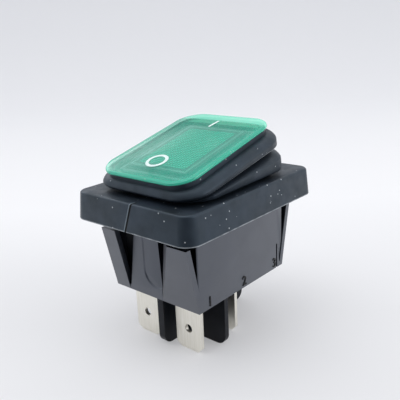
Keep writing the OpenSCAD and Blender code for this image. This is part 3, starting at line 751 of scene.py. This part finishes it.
def ease_recess(bm):
    """Slopes the side of the shallow recess in each end panel, which is soft on the moulding."""
    floor = BODY_SIZE[1] / 2 - RECESS_DEPTH
    for vert in bm.verts:
        on_floor = abs(abs(vert.co.y) - floor) < 0.01
        if on_floor and abs(vert.co.x) < RECESS_REACH and vert.co.z < RECESS_TOP:
            middle = Vector((0, vert.co.y, RECESS_MIDDLE))
            vert.co += RECESS_SLOPE * (middle - vert.co).normalized()


def soften(node_name, material, body, width, shape=None):
    """Stands a copy with small moulded or coined edge radii in for a sharp-edged CAD node."""
    bm = bmesh.new()
    bm.from_mesh(frame["nodes"][node_name].data)
    bm.transform(Matrix.Scale(1 / MM, 4))
    bmesh.ops.remove_doubles(bm, verts=bm.verts, dist=0.0005)
    bmesh.ops.dissolve_limit(bm, angle_limit=math.radians(1), verts=bm.verts, edges=bm.edges)
    if shape:
        shape(bm)
    made = piece(node_name + "_finish", bm, material, body, EDGE_ANGLE)
    edge = made.modifiers.new("edge_radius", "BEVEL")
    edge.width = width * MM
    edge.segments = 2
    edge.limit_method = "ANGLE"
    edge.angle_limit = math.radians(EDGE_ANGLE)
    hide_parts(node_name)


# ---------------------------------------------------------------- rubber boot

def fold_section(u, inset, height, inner=GROOVE_INSET):
    """A section of a fold: u is 0 on its crest and 1 on its inner line, under the window."""
    half = [FOLD_SIZE[i] / 2 * (1 - u) + (WINDOW_SIZE[i] / 2 - inner) * u - inset for i in (0, 1)]
    return (*half, FOLD_CORNER * (1 - u) + (WINDOW_CORNER - inner) * u - inset, height)


def fold_sections(fold, inset, inner=GROOVE_INSET):
    """One fold from the groove below it to the line above it: undercut, nose and sloping top."""
    crest, under, roll = fold["crest"], fold["under"] - inset, fold["roll"] - inset
    low = [fold_section(way_in, inset, crest - under * down) for way_in, down in UNDERCUT]
    high = []
    for a in arc_points(0, 90, 9):
        u, rise = 1 - math.cos(a), math.sin(a)
        flat = (u + rise) / 2
        u, rise = u + (flat - u) * SLOPE, rise + (flat - rise) * SLOPE
        high.append(fold_section(u, inset, crest + rise * roll, inner))
    return low + high


def flange_section(inset, height):
    """A section of the flange, this far in from its widest."""
    half = [size / 2 - inset for size in FLANGE_SIZE]
    return (*half, max(FLANGE_CORNER - inset, 0.4), height)


def boot_sections():
    """The closed profile: out along the bottom, up the outside and down the inside."""
    seal = (BODY_SIZE[0] / 2 + FIT, BODY_SIZE[1] / 2 + FIT, SEAL_CORNER)
    bezel = (*(size / 2 - SKIRT + FIT for size in FLANGE_SIZE), FLANGE_CORNER - SKIRT + FIT)
    ledge = (*(size / 2 - LEDGE for size in WINDOW_SIZE), WINDOW_CORNER - LEDGE)
    top_edge = []
    for a in arc_points(0, 90, 6):
        inset = FLANGE_DRAFT + FLANGE_EDGE * (1 - math.cos(a))
        top_edge.append(flange_section(inset, FLANGE_HEIGHT - FLANGE_EDGE * (1 - math.sin(a))))
    groove = []
    for a in arc_points(0, 90, 4):
        rise = GROOVE_FILLET[1] * (1 - math.cos(a))
        out = -GROOVE_FILLET[0] * (1 - math.sin(a))
        groove.append(fold_section(1, out, FLANGE_HEIGHT - GROOVE_DEPTH + rise))
    outside = [
        (*seal, 0), *(flange_section(*place) for place in LIP_EDGE), *top_edge, *groove,
        *fold_sections(LOWER_FOLD, 0), *fold_sections(UPPER_FOLD, 0, NECK_INSET),
        fold_section(1, 0, BOOT_TOP, NECK_INSET),
    ]
    inside = [
        (*ledge, BOOT_TOP), (*ledge, BOOT_TOP - FOLD_WALL),
        *reversed(fold_sections(UPPER_FOLD, FOLD_WALL)),
        *reversed(fold_sections(LOWER_FOLD, FOLD_WALL)),
        fold_section(1, FOLD_WALL, BEZEL_TOP + HAIR), (*bezel, BEZEL_TOP + HAIR),
        (*bezel, LIP - HAIR), (*seal, LIP - HAIR),
    ]
    return outside + inside


def flash_and_highlight_at(section):
    """How pale the rubber is at a section: thin flash lines, partly a painted edge highlight, at the
    upper fold's edge and the lip.
    """
    if section in fold_sections(UPPER_FOLD, 0)[FLASH_AND_HIGHLIGHT_LINE - 1:FLASH_AND_HIGHLIGHT_LINE + 1]:
        return 1.0
    return 0.8 if section in [flange_section(*place) for place in LIP_EDGE[1:3]] else 0.0


def make_boot():
    """The boot is swept level, told how it bends, and then bent to the rest position."""
    bm = bmesh.new()
    flash_and_highlight = bm.verts.layers.float.new("flash_and_highlight")
    sections = boot_sections()
    loops = sweep(bm, sections + sections[:1], arc=14)
    bmesh.ops.remove_doubles(bm, verts=loops[0] + loops[-1], dist=1e-4)
    for section, loop in zip(sections, loops):
        for vert in (v for v in loop if v.is_valid):
            vert[flash_and_highlight] = flash_and_highlight_at(section)
    boot = piece("boot_rubber", bm, RUBBER, smooth=40)
    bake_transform(boot, "case", "rocker", start=(0, 0, FAN[0] * MM), end=(0, 0, FAN[1] * MM))
    share = boot.data.attributes["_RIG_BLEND"].data
    for vert, turned in zip(boot.data.vertices, share):
        turn = Matrix.Rotation(TILT * turned.value, 3, "X")
        vert.co = PIVOT + turn @ (vert.co - PIVOT)
    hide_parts("boot")


# ---------------------------------------------------------------- window and its marks

def crown_height(x, y):
    """Height of the window's face above the panel on the level rocker, a slice of a ball."""
    half_length = WINDOW_SIZE[1] / 2
    ball = (half_length ** 2 + WINDOW_CROWN ** 2) / (2 * WINDOW_CROWN)
    top = BOOT_TOP + WINDOW_RIM + WINDOW_CROWN
    return top - ball + math.sqrt(ball ** 2 - x ** 2 - y ** 2)


def window_section(inset, height=0):
    """A section of the window's plate, this far in from its side."""
    half = [size / 2 - inset for size in WINDOW_SIZE]
    return (*half, max(WINDOW_CORNER - inset, 0.3), height)


def make_window():
    """A crowned plate with a rounded rim, closed by a small cap in the middle of each face."""
    bm = bmesh.new()
    edge = bm.verts.layers.float.new("edge")
    reach = WINDOW_SIZE[0] / 2 - WINDOW_CAP
    steps = 10
    below = [window_section(reach * (1 - i / steps), BOOT_TOP) for i in range(steps)]
    below.append(window_section(WINDOW_CHAMFER, BOOT_TOP))
    below.append(window_section(0, BOOT_TOP + WINDOW_CHAMFER))
    # the rim and the face are swept flat and then raised to the crown, with the rim rounded
    curve = arc_points(0, 90, 5)
    rim = [window_section(WINDOW_EDGE * (1 - math.cos(a))) for a in curve]
    inner = reach - WINDOW_EDGE
    face = [window_section(WINDOW_EDGE + inner * i / steps) for i in range(1, steps + 1)]
    loops = sweep(bm, below + rim + face, arc=12)
    drops = [WINDOW_EDGE * (1 - math.sin(a)) for a in curve] + [0] * steps
    for loop, drop in zip(loops[len(below):], drops):
        for vert in loop:
            vert.co.z = crown_height(vert.co.x, vert.co.y) - drop
    for loop in loops:
        inset = WINDOW_SIZE[0] / 2 - max(vert.co.x for vert in loop)
        for vert in loop:
            vert[edge] = max(0.0, 1 - inset / EDGE_GLOW)
    for loop in (loops[0], loops[-1]):
        bmesh.ops.contextual_create(bm, geom=loop)
    on_rocker(bm)
    window = piece("window_plate", bm, WINDOW, "rocker", smooth=50)
    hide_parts("window")


def lay_on_window(bm):
    """Drops a flat mark onto the crowned face, sinks it by a third and gives it its thickness."""
    for vert in bm.verts:
        vert.co.z = crown_height(vert.co.x, vert.co.y) - INK_THICKNESS / 3
    grown = bmesh.ops.extrude_face_region(bm, geom=bm.faces[:])["geom"]
    top = [item for item in grown if isinstance(item, bmesh.types.BMVert)]
    bmesh.ops.translate(bm, verts=top, vec=(0, 0, INK_THICKNESS))
    on_rocker(bm)


def make_marks():
    """The printed O on the pressed end and the printed I on the raised end."""
    bm = bmesh.new()
    for radius in (O_RADIUS, O_RADIUS - O_STROKE):
        bmesh.ops.create_circle(bm, segments=64, radius=radius)
    bmesh.ops.bridge_loops(bm, edges=bm.edges[:])
    bmesh.ops.translate(bm, verts=bm.verts, vec=(0, O_CENTRE, 0))
    lay_on_window(bm)
    mark_o = piece("mark_off", bm, INK, "rocker")

    bm = bmesh.new()
    size = Matrix.Diagonal((I_SIZE[0] / 2, I_SIZE[1] / 2, 1, 1))
    place = Matrix.Translation((0, I_CENTRE, 0)) @ size
    bmesh.ops.create_grid(bm, x_segments=2, y_segments=12, size=1, matrix=place)
    lay_on_window(bm)
    mark_i = piece("mark_on", bm, INK, "rocker")


# ---------------------------------------------------------------- numbers on the housing

def number_mesh(text):
    """A raised figure as a mesh in millimetres, its foot on the origin."""
    curve = bpy.data.curves.new("figure", "FONT")
    curve.body = text
    curve.align_x = "CENTER"
    curve.size = NUMBER_HEIGHT / FIGURE_SHARE
    curve.extrude = NUMBER_RELIEF
    curve.offset = NUMBER_BOLDER
    curve.resolution_u = 4
    holder = bpy.data.objects.new("figure", curve)
    bpy.context.collection.objects.link(holder)
    mesh = bpy.data.meshes.new_from_object(holder)
    bpy.data.objects.remove(holder)
    bpy.data.curves.remove(curve)
    return mesh


def make_numbers():
    """The position numbers 1, 2 and 3, moulded on both long sides."""
    bm = bmesh.new()
    upright = Matrix(((0, 0, 1, 0), (1, 0, 0, 0), (0, 1, 0, 0), (0, 0, 0, 1)))
    # each side's 1 is at the same pair of terminals, so the order turns round with the side
    for half_turn, order in ((0, "123"), (math.pi, "321")):
        for index, text in enumerate(order):
            mesh = number_mesh(text)
            along = (index - 1) * TERMINAL_PITCH
            place = Matrix.Translation((BODY_SIZE[0] / 2, along, NUMBER_FOOT))
            mesh.transform(Matrix.Rotation(half_turn, 4, "Z") @ place @ upright)
            bm.from_mesh(mesh)
            bpy.data.meshes.remove(mesh)
    bmesh.ops.remove_doubles(bm, verts=bm.verts, dist=1e-4)
    numbers = piece("position_numbers", bm, SHADED_FIGURES, "case", smooth=30)


# ---------------------------------------------------------------- springs

def make_spring(side):
    """A coil whose end turns lie flat; it shortens between the rocker and its plunger."""
    nearest, farthest = box_mm("plunger_" + side)
    plunger_x = (nearest[0] + farthest[0]) / 2
    low, high = SPRING_ENDS
    coil = (SPRING_TURNS - 2, high - low - 2 * DEAD_TURN)
    bm = bmesh.new()
    place = Matrix.Translation((COIL_RADIUS, 0, low)) @ Matrix.Rotation(math.radians(90), 4, "X")
    bmesh.ops.create_circle(bm, segments=8, radius=SPRING_WIRE / 2, matrix=place)
    ring = bm.edges[:]
    for turns, rise in ((1, DEAD_TURN), coil, (1, DEAD_TURN)):
        steps = 24 * turns
        grown = bmesh.ops.spin(
            bm, geom=ring, cent=(0, 0, 0), axis=(0, 0, 1), dvec=(0, 0, rise / steps),
            angle=2 * math.pi * turns, steps=steps, use_merge=False,
        )
        ring = [item for item in grown["geom_last"] if isinstance(item, bmesh.types.BMEdge)]
    bmesh.ops.holes_fill(bm, edges=[e for e in bm.edges if e.is_boundary], sides=0)
    bm.transform(Matrix.Translation((plunger_x, 0, 0)))
    on_rocker(bm)
    spring = piece("spring_" + side, bm, SPRING_STEEL, smooth=70)
    turn = Matrix.Rotation(TILT, 3, "X")
    ends = [PIVOT + turn @ (Vector((plunger_x, 0, z)) * MM - PIVOT) for z in (high, low)]
    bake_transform(spring, "rocker", "plunger_" + side, start=tuple(ends[0]), end=tuple(ends[1]))
    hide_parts("plunger_spring_" + side)


# ---------------------------------------------------------------- studio

def pale_card():
    """Smooth card, off-white, with painted light: brightest in a band a little behind the switch,
    dimmer at the switch and a little cooler far behind.

    What the camera and polished faces see of it is partly its plain colour, so the shadow is
    soft. The switch itself gets little light from the part in front, out of the camera's sight.
    """
    material, tree, place = new_finish("pale_card")
    turned = add(tree, "ShaderNodeVectorRotate", {
        "Vector": place, "Axis": (0, 0, 1), "Angle": -VIEW_AZIMUTH,
    }, rotation_type="AXIS_ANGLE")
    back = add(tree, "ShaderNodeSeparateXYZ", {0: turned}, "Y")
    # painted light: the card is lighter in a band a little behind the switch than at it or far behind
    near = add(tree, "ShaderNodeMapRange", {"Value": back, "From Min": 0.0, "From Max": 0.08})
    far = add(tree, "ShaderNodeMapRange", {"Value": back, "From Min": 0.1, "From Max": 0.5})
    front = add(tree, "ShaderNodeMix", {
        SHARE: near, FIRST: colour("#eaeaec"), SECOND: colour("#f6f6f8"),
    }, MIXED, data_type="RGBA")
    card = add(tree, "ShaderNodeMix", {
        SHARE: far, FIRST: front, SECOND: colour("#edeef2"),
    }, MIXED, data_type="RGBA")
    direct = add(tree, "ShaderNodeLightPath", output="Is Camera Ray")
    behind = add(tree, "ShaderNodeMapRange", {"Value": back, "From Min": -0.13, "From Max": -0.06})
    lit = add(tree, "ShaderNodeMath", {0: behind, 1: direct}, operation="MAXIMUM")
    tone = add(tree, "ShaderNodeMix", {
        SHARE: lit, FIRST: colour("#2a2c30"), SECOND: card,
    }, MIXED, data_type="RGBA")
    paper = add(tree, "ShaderNodeBsdfPrincipled", {
        "Base Color": tone, "Roughness": 0.7, "Specular IOR Level": 0.1,
    })
    plain = add(tree, "ShaderNodeEmission", {"Color": tone, "Strength": 1.0})
    mirrored = add(tree, "ShaderNodeLightPath", output="Is Glossy Ray")
    seen = add(tree, "ShaderNodeMath", {0: direct, 1: mirrored}, operation="MAXIMUM")
    share = add(tree, "ShaderNodeMath", {0: seen, 1: SHEET_GLOW}, operation="MULTIPLY")
    mixed = add(tree, "ShaderNodeMixShader", {0: share, 1: paper, 2: plain})
    add(tree, "ShaderNodeOutputMaterial", {"Surface": mixed})
    return material


def make_sheet():
    """A pale sheet that lies under the switch and curves up a little, far behind it."""
    low = cad_box[0].z / MM
    rise = [
        (SHEET_RISE + SHEET_RADIUS * math.sin(a), SHEET_RADIUS - SHEET_RADIUS * math.cos(a))
        for a in arc_points(0, 90, 12)
    ]
    bm = bmesh.new()
    sides = (-SHEET_HALF_WIDTH, SHEET_HALF_WIDTH)
    edge = bm.edges.new([bm.verts.new((x, SHEET_FRONT, low)) for x in sides])
    for back, high in rise + [SHEET_END]:
        grown = bmesh.ops.extrude_edge_only(bm, edges=[edge])["geom"]
        row = {item for item in grown if isinstance(item, bmesh.types.BMVert)}
        for vert in row:
            vert.co.y, vert.co.z = back, low + high
        edges = [item for item in grown if isinstance(item, bmesh.types.BMEdge)]
        edge = next(item for item in edges if set(item.verts) == row)
    bm.transform(Matrix.Rotation(VIEW_AZIMUTH, 4, "Z"))
    piece("pale_sheet", bm, pale_card(), smooth=60)


def make_surround():
    """Soft light from all round, with a brighter patch behind the left side.

    The switch gets less light from the camera's side. The camera sees it all the same pale grey.
    """
    world = bpy.data.worlds.new("surround")
    bpy.context.scene.world = world
    world.use_nodes = True
    tree = world.node_tree
    tree.nodes.clear()
    way = add(tree, "ShaderNodeTexCoord", output="Generated")
    aim = {0: way, 1: PATCH_WAY}
    facing = add(tree, "ShaderNodeVectorMath", aim, "Value", operation="DOT_PRODUCT")
    patch = add(tree, "ShaderNodeMapRange", {
        "Value": facing, "From Min": PATCH_EDGE[0], "From Max": PATCH_EDGE[1],
        "To Min": SURROUND, "To Max": SURROUND + PATCH,
    }, interpolation_type="SMOOTHSTEP")
    ahead = {0: way, 1: (math.sin(VIEW_AZIMUTH), -math.cos(VIEW_AZIMUTH), 0.1)}
    toward = add(tree, "ShaderNodeVectorMath", ahead, "Value", operation="DOT_PRODUCT")
    dim = add(tree, "ShaderNodeMapRange", {
        "Value": toward, "From Min": DIM_EDGE[0], "From Max": DIM_EDGE[1],
        "To Min": 1.0, "To Max": DIM_TO,
    }, interpolation_type="SMOOTHSTEP")
    direct = add(tree, "ShaderNodeLightPath", output="Is Camera Ray")
    cast = add(tree, "ShaderNodeMath", {0: patch, 1: dim}, operation="MULTIPLY")
    # a Mix node's two numbers are its sockets 2 and 3
    power = add(tree, "ShaderNodeMix", {SHARE: direct, 2: cast, 3: BACKDROP}, data_type="FLOAT")
    sky = add(tree, "ShaderNodeBackground", {"Color": colour("#f4f6fa"), "Strength": power})
    add(tree, "ShaderNodeOutputWorld", {"Surface": sky})


def make_lamps():
    """Two weak square lamps, each aimed at the switch, for soft highlights."""
    for name, where, size, watts in LAMPS:
        light = bpy.data.lights.new(name, "AREA")
        light.shape = "SQUARE"
        light.size = size
        light.energy = watts
        holder = bpy.data.objects.new(name, light)
        bpy.context.collection.objects.link(holder)
        holder.location = where
        holder.rotation_euler = (-Vector(where)).to_track_quat("-Z", "Y").to_euler()


def make_camera():
    """Looks at the near short side and the right long side from a little above."""
    level = math.cos(VIEW_HEIGHT)
    back = Vector((
        math.sin(VIEW_AZIMUTH) * level, -math.cos(VIEW_AZIMUTH) * level, math.sin(VIEW_HEIGHT),
    ))
    level_right = Vector((0, 0, 1)).cross(back).normalized()
    level_up = back.cross(level_right)
    right = math.cos(VIEW_ROLL) * level_right + math.sin(VIEW_ROLL) * level_up
    up = math.cos(VIEW_ROLL) * level_up - math.sin(VIEW_ROLL) * level_right
    place = back * (CAMERA_DISTANCE * MM) + right * (CAMERA_ASIDE * MM) + up * (CAMERA_ABOVE * MM)
    data = bpy.data.cameras.new("camera")
    data.sensor_width = SENSOR_WIDTH
    data.lens = CAMERA_LENS
    data.clip_start = 0.005
    holder = bpy.data.objects.new("camera", data)
    bpy.context.collection.objects.link(holder)
    turn = Matrix((right, up, back)).transposed().to_4x4()
    holder.matrix_world = Matrix.Translation(place) @ turn
    bpy.context.scene.camera = holder


make_camera()
make_sheet()
make_surround()
make_lamps()
dress_cad_nodes()
soften("housing", NYLON, "case", HOUSING_EDGE, shape=ease_recess)
soften("rocker", ROCKER, "rocker", ROCKER_EDGE)
for side in ("left", "right"):
    soften("fixed_terminal_" + side, TIN, "case", TERMINAL_EDGE)
    soften("common_terminal_" + side, TIN, "case", TERMINAL_EDGE)
make_boot()
make_spring("left")
make_spring("right")
make_window()
make_marks()
make_numbers()

bpy.context.scene.view_settings.view_transform = "Standard"
